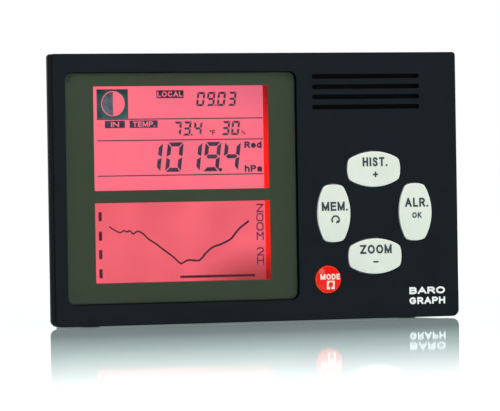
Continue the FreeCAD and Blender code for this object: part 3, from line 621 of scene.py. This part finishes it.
class BAROGRAPH_OT_inside(bpy.types.Operator):
    """Finish what is inside the case"""
    bl_idname = "barograph.inside"
    bl_label = "Inside"

    def execute(self, context):
        # Frosted acrylic with the red backlight painted into its colour: milky pink
        guide = surface("acrylic_frosted_painted_red_light", linear("FF8FA0"), (0.4, 0.5), 1.0, 0.002)
        dress(guide, "light_guide_upper", "light_guide_lower")
        # Stretched white film: bright and even
        sheet = surface("polyester_film_white", linear("F2F2F0"), (0.4, 0.5), 2.0, 0.002)
        dress(sheet, "reflector_upper", "reflector_lower")
        # Carbon-filled silicone: dull grey
        dress(rubber("silicone_striped_grey", linear("55565C")), "zebra_upper", "zebra_lower")
        # Cast epoxy lens: wet-looking red
        resin = surface("epoxy_cast_red", linear("D8382A"), (0.1, 0.2), 1.0, 0.001)
        dress(resin, "backlight_leds")
        # Glass-epoxy under green lacquer: mottled by its weave
        board = surface("epoxy_glass_green", linear("14603A"), (0.3, 0.45), 0.9, 0.004, varied=0.2)
        dress(board, "main_board")
        # Zinc-plated steel: pale, slightly streaky shine
        dress(metal("steel_zinc_plated", linear("C8C8C2"), (0.25, 0.4), 0.5), "board_screws",
              "clock_crystal", "pressure_sensor")
        # Epoxy dropped on the chip: black and wet-looking
        blob = surface("epoxy_cast_black", linear("101012"), (0.15, 0.3), 2.0, 0.01)
        dress(blob, "controller_blob")
        # Shrunk PVC sleeve: smooth dark blue
        dress(surface("pvc_sleeve_blue", linear("182446"), (0.2, 0.3), 1.0, 0.002), "capacitors")
        # Moulded nylon: off-white and waxy
        nylon = surface("nylon_moulded_white", linear("ECE8DC"), (0.4, 0.5), 0.8, 0.002)
        dress(nylon, "humidity_sensor", "lead_connector")
        # Extruded PVC insulation: soft, faint sheen
        dress(rubber("pvc_insulation_red", linear("B01410")), "battery_lead_plus")
        dress(rubber("pvc_insulation_black", linear("151515")), "battery_lead_minus")
        dress(cell_sleeve(), "battery_1", "battery_2", "battery_3")
        # Nickel-plated spring steel: bright and slightly warm
        dress(metal("steel_nickel_plated", linear("CFCBC0"), (0.18, 0.32), 0.6), "battery_contacts",
              "battery_springs")
        return {"FINISHED"}


# Display content ------------------------------------------------------------------------

SEGMENTS = {"0": "abcdef", "1": "bc", "3": "abcdg", "4": "bcfg", "7": "abc", "9": "abcdfg"}


def segment(kind, wide, high, stroke, gap):
    """Outline of one segment of an upright digit whose lower left corner is the origin."""
    s, half = stroke, high / 2
    if kind in "ad":
        z0, z1 = (high, high - s) if kind == "a" else (0.0, s)
        return [(gap, z0), (wide - gap, z0), (wide - s - gap * 0.4, z1), (s + gap * 0.4, z1)]
    if kind == "g":
        h = s / 2
        a, b = gap + h * 0.6, s + gap * 0.3
        return [(a, half), (b, half + h), (wide - b, half + h),
                (wide - a, half), (wide - b, half - h), (b, half - h)]
    slit = gap * 0.6
    outer, inner = (0.0, s) if kind in "ef" else (wide, wide - s)
    if kind in "ec":
        return [(outer, gap), (inner, s + gap), (inner, half - s / 2 - slit), (outer, half - slit)]
    return [(outer, half + slit), (inner, half + s / 2 + slit), (inner, high - s - gap),
            (outer, high - gap)]


def digits(text, starts, z0, wide, high, stroke, lean):
    """Outlines of slanted digits in metres; starts are their lower left corners' x."""
    outlines = []
    for mark, x0 in zip(text, starts):
        for kind in SEGMENTS[mark]:
            points = segment(kind, wide, high, stroke, stroke * 0.22)
            outlines.append([(x0 + x + lean * z, z0 + z) for x, z in points])
    return outlines


def disc(x, z, r, start=0.0, turn=2 * math.pi, steps=40):
    """Outline of a disc, or of a piece of one, in metres."""
    angles = [start + turn * i / steps for i in range(steps + (turn < 2 * math.pi))]
    return [(x + r * math.cos(a), z + r * math.sin(a)) for a in angles]


def ring(name, x, z, outer, inner, front, thick, steps=48):
    """Flat ring as a mesh, in metres."""
    work = bmesh.new()
    rows = []
    for r, y in ((outer, front), (outer, front - thick), (inner, front - thick), (inner, front)):
        rows.append([work.verts.new((x + r * math.cos(2 * math.pi * i / steps), y,
                                     z + r * math.sin(2 * math.pi * i / steps))) for i in range(steps)])
    for a, b in zip(rows, rows[1:] + rows[:1]):
        for i in range(steps):
            j = (i + 1) % steps
            work.faces.new([a[i], a[j], b[j], b[i]])
    return closed_mesh(work, name)


class BAROGRAPH_OT_readings(bpy.types.Operator):
    """Draw the upper window: moon, time, temperature, humidity and pressure"""
    bl_idname = "barograph.readings"
    bl_label = "Upper window"

    def execute(self, context):
        tones = context.scene.barograph_colours
        sizes = context.scene.barograph_sizes
        film = sizes.film
        dark = segment_ink(tones.crystal)
        lit = lit_glass("glass_polarised_clear", tones.light_upper, tones.light_dim, (1.0, 1.0), 1 * MM)

        lean = 0.125
        tall = sizes.big_digit
        starts = [x * MM for x in (-47.3, -38.3, -30.1, -21.8, -13.2)]
        shapes = digits("10194", starts, BOTTOM + 62.0 * MM, 6.9 * MM, tall, 1.65 * MM, lean)
        shapes.append(disc(*at(-14.0, 62.6), 0.75 * MM, steps=24))
        piece("pressure_reading", flat_prisms("pressure_reading", shapes, GLASS, film), dark, CASE)

        small, wide, stroke = sizes.small_digit, 3.45 * MM, 0.92 * MM
        for name, text, starts, dot, z in (
                ("time_reading", "0903", (-24.3, -19.8, -15.2, -10.5), -16.0, 88.7),
                ("temperature_reading", "734", (-34.7, -30.5, -25.7), -26.7, 76.7),
                ("humidity_reading", "30", (-13.5, -9.2), None, 76.7)):
            shapes = digits(text, [x * MM for x in starts], BOTTOM + z * MM, wide, small, stroke, lean)
            if dot:
                shapes.append(block(dot, dot + 0.65, z, z + 0.65))
            piece(name, flat_prisms(name, shapes, GLASS, film), dark, CASE)

        half = sizes.rule / MM / 2
        rules = [block(-67.4, 5.0, z - half, z + half) for z in (83.65, 75.0, 60.65)]
        piece("display_rules", flat_prisms("display_rules", rules, GLASS, film), dark, CASE)

        labels = {
            "degree_label": ("°F", (-18.5, -16.1, 76.8, 78.9), 0.42),
            "reduced_label": ("Red", (-3.3, 4.3, 71.3, 74.0), 0.72),
            "unit_label": ("hPa", (-3.3, 4.4, 61.5, 64.3), 0.72),
        }
        for name, (text, area, stroke) in labels.items():
            piece(name, lettering(name, text, mm_area(*area), stroke * MM, GLASS, film), dark, CASE)
        faint = segment_ink(linear("C2344E"))
        shapes = [disc(*at(-4.2, 78.1), 0.4 * MM, steps=16),
                  disc(*at(-3.1, 77.3), 0.4 * MM, steps=16),
                  [at(-4.3, 76.9), at(-4.0, 76.9), at(-3.0, 78.5), at(-3.3, 78.5)]]
        piece("percent_label", flat_prisms("percent_label", shapes, GLASS, film), faint, CASE)

        frames = {
            "local_label": ("LOCAL", (-41.5, -29.7, 92.1, 95.3), (-41.1, -30.1, 92.65, 94.8)),
            "inside_label": ("IN", (-64.0, -55.4, 80.1, 83.1), (-61.4, -57.9, 80.55, 82.65)),
            "temperature_label": ("TEMP.", (-53.3, -41.2, 80.1, 83.1), (-52.0, -42.4, 80.55, 82.65)),
        }
        for name, (text, outer, inner) in frames.items():
            piece(name + "_field", flat_prisms(name, [block(*outer)], GLASS, film), dark, CASE)
            raised = lettering(name + "_text", text, mm_area(*inner), 0.46 * MM, GLASS - film, film)
            piece(name + "_text", raised, lit, CASE)
        self.moon(lit, film)
        return {"FINISHED"}

    def moon(self, lit, film):
        """Square field with a ring whose left half is dark."""
        night = segment_ink(linear("2C5656"))
        field = flat_prisms("moon_field", [block(-67.4, -53.9, 83.9, 95.9)], GLASS, film)
        piece("moon_field", field, night, CASE)
        (x, z), r = at(-60.4, 90.05), 5.1 * MM
        lit_half = disc(x, z, r - 0.3 * MM, -math.pi / 2, math.pi)
        piece("moon_lit", flat_prisms("moon_lit", [lit_half], GLASS - film, film), lit, CASE)
        dark_half = disc(x - 0.1 * MM, z, r - 0.55 * MM, math.pi / 2, math.pi)
        shadow = segment_ink(linear("5E6674"))
        piece("moon_dark", flat_prisms("moon_dark", [dark_half], GLASS - film, film), shadow, CASE)
        piece("moon_ring", ring("moon_ring", x, z, r, r - 0.35 * MM, GLASS - film, film), lit, CASE)


TRACE = ((-62.6, 39.9), (-58.8, 37.7), (-57.6, 37.8), (-56.5, 38.4), (-55.3, 37.8), (-54.1, 38.3),
         (-52.5, 37.0), (-50.7, 38.0), (-48.3, 37.0), (-46.0, 34.8), (-43.1, 33.0), (-40.7, 31.2),
         (-37.4, 28.8), (-35.0, 27.0), (-32.6, 24.8), (-31.4, 24.6), (-28.7, 25.8), (-24.6, 25.5),
         (-22.8, 26.5), (-20.8, 28.7), (-17.8, 30.9), (-14.4, 32.0), (-10.2, 33.9), (-8.2, 36.0),
         (-6.2, 38.2), (-2.2, 41.1))
# Square letters of the zoom note, one unit wide and high
RING = [(0.2, 0), (0, 0.2), (0, 0.8), (0.2, 1), (0.8, 1), (1, 0.8), (1, 0.2), (0.8, 0), (0.2, 0)]
NOTE = {
    "Z": [[(0, 1), (1, 1), (0, 0), (1, 0)]],
    "O": [RING],
    "M": [[(0, 0), (0, 1), (0.5, 0.5), (1, 1), (1, 0)]],
    "2": [[(0, 0.85), (0.2, 1), (0.8, 1), (1, 0.82), (1, 0.6), (0, 0), (1, 0)]],
    "H": [[(0, 0), (0, 1)], [(1, 0), (1, 1)], [(0, 0.5), (1, 0.5)]],
}


class BAROGRAPH_OT_trace(bpy.types.Operator):
    """Draw the lower window: pressure curve, scale marks and zoom note"""
    bl_idname = "barograph.trace"
    bl_label = "Lower window"

    def execute(self, context):
        tones = context.scene.barograph_colours
        sizes = context.scene.barograph_sizes
        film = sizes.film
        dark = segment_ink(tones.crystal)
        points = smooth([at(x, z) for x, z in TRACE])
        last = len(points) - 1
        widths = [sizes.trace * (0.75 + 0.4 * i / last) for i in range(last + 1)]
        # The curve's crystal is the darkest, as all of its dots are on
        curve = segment_ink(linear("3C222E"))
        piece("pressure_trace", band("pressure_trace", points, widths, GLASS, film), curve, CASE)
        marks = [block(-67.4, -66.0, z, z + 3.7) for z in (42.4, 34.5, 27.0, 19.2)]
        marks.append(block(-32.4, 0.5, 18.5, 19.5))
        black = segment_ink(linear("551A2D"))
        piece("scale_marks", flat_prisms("scale_marks", marks, GLASS, film), black, CASE)
        for index, (mark, z) in enumerate(zip("ZOOM2H", (45.1, 41.3, 37.5, 33.6, 27.2, 23.5))):
            name = "zoom_note_%d" % (index + 1)
            lines = [[at(1.75 + 2.6 * x, z + 2.9 * y) for x, y in line] for line in NOTE[mark]]
            piece(name, joined(strokes(name, lines, 0.5 * MM, GLASS, film), name), dark, CASE)
        return {"FINISHED"}


# Key legends ----------------------------------------------------------------------------

# Radius of each key's domed front, in millimetres
CROWN = {"history": 110.0, "zoom": 110.0, "memory": 110.0, "alarm": 110.0, "mode": 22.0}


def middle(key):
    """Centre of a key in front view, in metres."""
    low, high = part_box(key + "_key")
    return (low[0] + high[0]) / 2, (low[2] + high[2]) / 2


def on_crown(mesh, key, lift):
    """Lays a flat print on a key's domed front: its plane y = 0 becomes the dome's surface."""
    x, z = middle(key)
    r = CROWN[key] * MM
    for v in mesh.vertices:
        away = (v.co.x - x) ** 2 + (v.co.z - z) ** 2
        v.co.y += KEY_TOP + r - math.sqrt(r * r - away) - lift
    return mesh


def centred(key, dx, dz, wide, high):
    """Area of a legend in metres, from its offset to the key's centre and its size in mm."""
    x, z = middle(key)
    x, z = x + dx * MM, z + dz * MM
    return (x - wide * MM / 2, x + wide * MM / 2, z - high * MM / 2, z + high * MM / 2)


class BAROGRAPH_OT_legends(bpy.types.Operator):
    """Print the legends on the keys"""
    bl_idname = "barograph.legends"
    bl_label = "Key legends"

    def execute(self, context):
        tones = context.scene.barograph_colours
        thick = context.scene.barograph_sizes.ink
        grey = ink("ink_pad_printed_grey", tones.white_ink)
        pale = ink("ink_pad_printed_pale", tones.red_ink)
        lift = 0.012 * MM
        words = {
            "history": ("HIST.", 0.15, 3.0, 11.2, 3.75),
            "zoom": ("ZOOM", 0.0, 2.85, 14.2, 3.7),
            "memory": ("MEM.", 0.1, 2.85, 11.6, 3.7),
            "alarm": ("ALR.", 0.3, 3.9, 10.5, 3.75),
        }
        for key, (text, dx, dz, wide, high) in words.items():
            name = key + "_legend"
            mesh = lettering(name, text, centred(key, dx, dz, wide, high), 0.8 * MM, 0.0, thick)
            piece(name, on_crown(mesh, key, lift), grey, key + "_key")
        area = centred("alarm", 0.3, -1.4, 4.3, 2.4)
        mesh = lettering("okay_legend", "OK", area, 0.54 * MM, 0.0, thick)
        piece("okay_legend", on_crown(mesh, "alarm", lift), grey, "alarm_key")

        across = rectangle(*centred("history", 0.2, -2.25, 2.3, 0.7))
        x0, x1, z0, z1 = centred("history", 0.2, -2.25, 0.7, 2.3)
        below, above = across[0][1], across[2][1]
        upright = [rectangle(x0, x1, z0, below), rectangle(x0, x1, above, z1)]
        mesh = flat_prisms("plus_legend", [across] + upright, 0.0, thick)
        piece("plus_legend", on_crown(mesh, "history", lift), grey, "history_key")
        area = centred("zoom", -0.2, -2.35, 2.4, 0.7)
        mesh = flat_prisms("minus_legend", [rectangle(*area)], 0.0, thick)
        piece("minus_legend", on_crown(mesh, "zoom", lift), grey, "zoom_key")
        self.arrow(grey, thick, lift)

        area = centred("mode", 0.6, 1.1, 8.8, 2.3)
        mesh = lettering("mode_legend", "MODE", area, 0.52 * MM, 0.0, thick)
        piece("mode_legend", on_crown(mesh, "mode", 0.05 * MM), pale, "mode_key")
        self.lamp(pale, thick)
        return {"FINISHED"}

    def arrow(self, grey, thick, lift):
        """Return arrow: an open circle with a head at its lower right."""
        x0, x1, z0, z1 = centred("memory", 0.3, -2.75, 3.6, 3.6)
        x, z, r = (x0 + x1) / 2, (z0 + z1) / 2, 1.6 * MM
        sweep = arc(x, z, r, r, 205, -35, 24)
        body = band("return_legend", sweep, 0.7 * MM, 0.0, thick)
        hx, hz = sweep[-1]
        head = [(hx + 0.75 * MM, hz + 0.35 * MM), (hx - 1.25 * MM, hz - 0.75 * MM),
                (hx - 0.75 * MM, hz + 0.75 * MM)]
        mesh = joined([body, flat_prisms("return_head", [head], 0.0, thick)], "return_legend")
        piece("return_legend", on_crown(mesh, "memory", lift), grey, "memory_key")

    def lamp(self, pale, thick):
        """Lamp symbol: a pale square with the outline of a bulb in the key's red."""
        area = centred("mode", 0.7, -2.3, 3.5, 3.5)
        mesh = flat_prisms("lamp_legend", [rectangle(*area)], 0.0, thick)
        piece("lamp_legend", on_crown(mesh, "mode", 0.08 * MM), pale, "mode_key")
        x, z = (area[0] + area[1]) / 2, (area[2] + area[3]) / 2
        globe = arc(x, z + 0.25 * MM, 0.9 * MM, 0.9 * MM, -60, 240, 18)
        bulb = band("bulb", globe, 0.3 * MM, 0.0, thick)
        base = band("base", [(x, z - 0.75 * MM), (x, z - 1.45 * MM)], 0.6 * MM, 0.0, thick)
        mesh = joined([bulb, base], "bulb_legend")
        red = ink("ink_pad_printed_red", linear("D8564A"))
        piece("bulb_legend", on_crown(mesh, "mode", 0.12 * MM), red, "mode_key")


class BAROGRAPH_OT_marks(bpy.types.Operator):
    """Print a plain name on the face and mould the arrow on the battery door"""
    bl_idname = "barograph.marks"
    bl_label = "Marks"

    def execute(self, context):
        thick = context.scene.barograph_sizes.ink
        # Screen-printed ink: solid matt white
        white = ink("ink_screen_printed_white", linear("E8EAE6"))
        rows = (("BARO", (66.4, 82.6, 9.6, 12.5)), ("GRAPH", (66.4, 82.6, 5.4, 8.3)))
        meshes = [lettering("face_print", text, mm_area(*area), 0.74 * MM, FACE - 0.005 * MM, thick)
                  for text, area in rows]
        piece("face_print", joined(meshes, "face_print"), white, CASE)

        # The arrow is moulded with the door, so it has the door's texture
        moulded = rear_abs(context.scene.barograph_colours.case)
        out = 0.2 * MM
        head = [at(-41.0, 49.8), at(-35.0, 49.8), at(-38.0, 52.8)]
        arrow = [block(-39.2, -36.8, 45.0, 49.5), head]
        door = flat_prisms("door_arrow", arrow, BACK + out, out + 0.05 * MM)
        piece("door_arrow", door, moulded, "battery_door")
        return {"FINISHED"}


# Studio ---------------------------------------------------------------------------------

def soft_light(name, where, towards, size, power):
    """Square area light that faces a point."""
    data = bpy.data.lights.new(name, "AREA")
    data.shape = "SQUARE"
    data.size = size
    data.energy = power
    lamp = bpy.data.objects.new(name, data)
    bpy.context.scene.collection.objects.link(lamp)
    lamp.location = where
    lamp.rotation_euler = (Vector(towards) - Vector(where)).to_track_quat("-Z", "Y").to_euler()


class BAROGRAPH_OT_studio(bpy.types.Operator):
    """Lay the floor and set the lights and the camera"""
    bl_idname = "barograph.studio"
    bl_label = "Studio"

    def execute(self, context):
        scene = context.scene
        studio = scene.barograph_studio
        scene.view_settings.view_transform = "Standard"
        self.floor()
        self.room(scene, studio)
        middle = (0.0, 0.0, 0.055)
        soft_light("key_light", (-0.35, -1.15, 1.2), middle, 0.8, studio.key_power)
        soft_light("fill_light", (1.2, -0.7, 0.7), middle, 0.9, studio.fill_power)
        soft_light("catch_light", (0.17, -1.16, 0.32), middle, 0.22, studio.catch_power)
        self.camera(scene, studio)
        return {"FINISHED"}

    def room(self, scene, studio):
        """White room with a dark screen in front of the face, which keeps the black case deep. The
        camera sees only white, and polished surfaces see the screen at half strength or more."""
        world = bpy.data.worlds.new("white_room")
        world.use_nodes = True
        tree = world.node_tree
        tree.nodes.clear()
        path = add(tree, "ShaderNodeLightPath").outputs
        mirrored = add(tree, "ShaderNodeMath", {0: path["Is Glossy Ray"], 1: 0.5}, operation="MULTIPLY")
        seen = add(tree, "ShaderNodeMath", {0: path["Is Camera Ray"], 1: mirrored}, operation="MAXIMUM")
        way = add(tree, "ShaderNodeTexCoord").outputs["Generated"]
        behind = add(tree, "ShaderNodeVectorMath", {0: way, 1: (0.55, 0.835, 0.0)},
                     operation="DOT_PRODUCT")
        screen = add(tree, "ShaderNodeMapRange", {"Value": behind, "From Min": -0.6, "From Max": 0.2,
                                                  "To Min": studio.front})
        level = add(tree, "ShaderNodeMath", {0: seen, 1: screen}, operation="MAXIMUM")
        sky = add(tree, "ShaderNodeBackground", {"Color": WHITE, "Strength": level})
        add(tree, "ShaderNodeOutputWorld", {"Surface": sky})
        scene.world = world

    def floor(self):
        """White acrylic table lit from below. It is polished where the part stands and matt further
        off, so the reflection dies away. Near the part its colour and glow have a painted cooler tint,
        which colours the reflection and the shade there."""
        mesh = bpy.data.meshes.new("floor")
        size = 4.0
        corners = [(x, z, 0) for x, z in rectangle(-size, size, -size, size)]
        mesh.from_pydata(corners, [], [(0, 1, 2, 3)])
        obj = bpy.data.objects.new("floor", mesh)
        bpy.context.scene.collection.objects.link(obj)
        material, tree, where = new_material("acrylic_table_white")
        flat = add(tree, "ShaderNodeVectorMath", {0: where, 1: (0.35, 1.0, 0.0)}, operation="MULTIPLY")
        away = add(tree, "ShaderNodeVectorMath", {0: flat}, operation="LENGTH")
        near = add(tree, "ShaderNodeMapRange", {"Value": away, "From Min": SHINE_FAR,
                                                "From Max": SHINE_NEAR})
        edge = add(tree, "ShaderNodeFresnel", {"IOR": ACRYLIC})
        share = add(tree, "ShaderNodeMath", {0: near, 1: edge}, operation="MULTIPLY")
        # Painted tint: near the part the floor's colour and glow turn cooler, colouring its reflection
        # and shade there
        painted_tint_mask = add(tree, "ShaderNodeMapRange", {"Value": near, "From Min": 0.14, "From Max": 0.74})
        tint = add(tree, "ShaderNodeMix", {"Factor": painted_tint_mask, 6: (0.75, 0.75, 0.75, 1.0),
                                           7: (0.405, 0.5, 0.49, 1.0)}, data_type="RGBA")
        glow = add(tree, "ShaderNodeMapRange", {"Value": painted_tint_mask, "To Min": 0.7, "To Max": 1.4})
        white = add(tree, "ShaderNodeBsdfPrincipled",
                    {"Base Color": tint, "Roughness": 0.8, "Specular IOR Level": 0.0,
                     "Emission Color": tint, "Emission Strength": glow})
        gloss = add(tree, "ShaderNodeBsdfGlossy", {"Color": WHITE, "Roughness": 0.03})
        mix = add(tree, "ShaderNodeMixShader", {"Fac": share, 1: white, 2: gloss})
        add(tree, "ShaderNodeOutputMaterial", {"Surface": mix})
        mesh.materials.append(material)

    def camera(self, scene, studio):
        """Camera that looks at the face from the left, almost level, with a long lens."""
        data = bpy.data.cameras.new("camera")
        data.sensor_width = 36.0
        data.lens = studio.lens
        data.clip_start = 0.01
        cam = bpy.data.objects.new("camera", data)
        scene.collection.objects.link(cam)
        turned = (Matrix.Rotation(-studio.turn, 4, "Z")
                  @ Matrix.Rotation(math.pi / 2 - studio.dip, 4, "X")
                  @ Matrix.Rotation(studio.roll, 4, "Z"))
        cam.matrix_world = Matrix.Translation(AIM) @ turned @ Matrix.Translation((0, 0, DISTANCE))
        scene.camera = cam


class BAROGRAPH_PT_panel(bpy.types.Panel):
    """Steps that dress the barograph"""
    bl_label = "Barograph"
    bl_idname = "BAROGRAPH_PT_panel"
    bl_space_type = "VIEW_3D"
    bl_region_type = "UI"
    bl_category = "Barograph"

    def draw(self, context):
        layout = self.layout
        for operator in OPERATORS:
            layout.operator(operator.bl_idname)
        for group in (context.scene.barograph_colours, context.scene.barograph_sizes,
                      context.scene.barograph_studio):
            column = layout.column()
            for name in group.__annotations__:
                column.prop(group, name)


GROUPS = {"barograph_colours": BarographColours, "barograph_sizes": BarographSizes,
          "barograph_studio": BarographStudio}
OPERATORS = (BAROGRAPH_OT_case, BAROGRAPH_OT_keys, BAROGRAPH_OT_panel, BAROGRAPH_OT_inside,
             BAROGRAPH_OT_readings, BAROGRAPH_OT_trace, BAROGRAPH_OT_legends, BAROGRAPH_OT_marks,
             BAROGRAPH_OT_studio)


def register():
    for group in GROUPS.values():
        bpy.utils.register_class(group)
    for name, group in GROUPS.items():
        setattr(bpy.types.Scene, name, PointerProperty(type=group))
    for kind in OPERATORS + (BAROGRAPH_PT_panel,):
        bpy.utils.register_class(kind)


def unregister():
    for kind in reversed(OPERATORS + (BAROGRAPH_PT_panel,)):
        bpy.utils.unregister_class(kind)
    for name in GROUPS:
        delattr(bpy.types.Scene, name)
    for group in reversed(list(GROUPS.values())):
        bpy.utils.unregister_class(group)


def main():
    register()
    for operator in OPERATORS:
        group, step = operator.bl_idname.split(".")
        getattr(getattr(bpy.ops, group), step)()


if __name__ == "__main__":
    main()
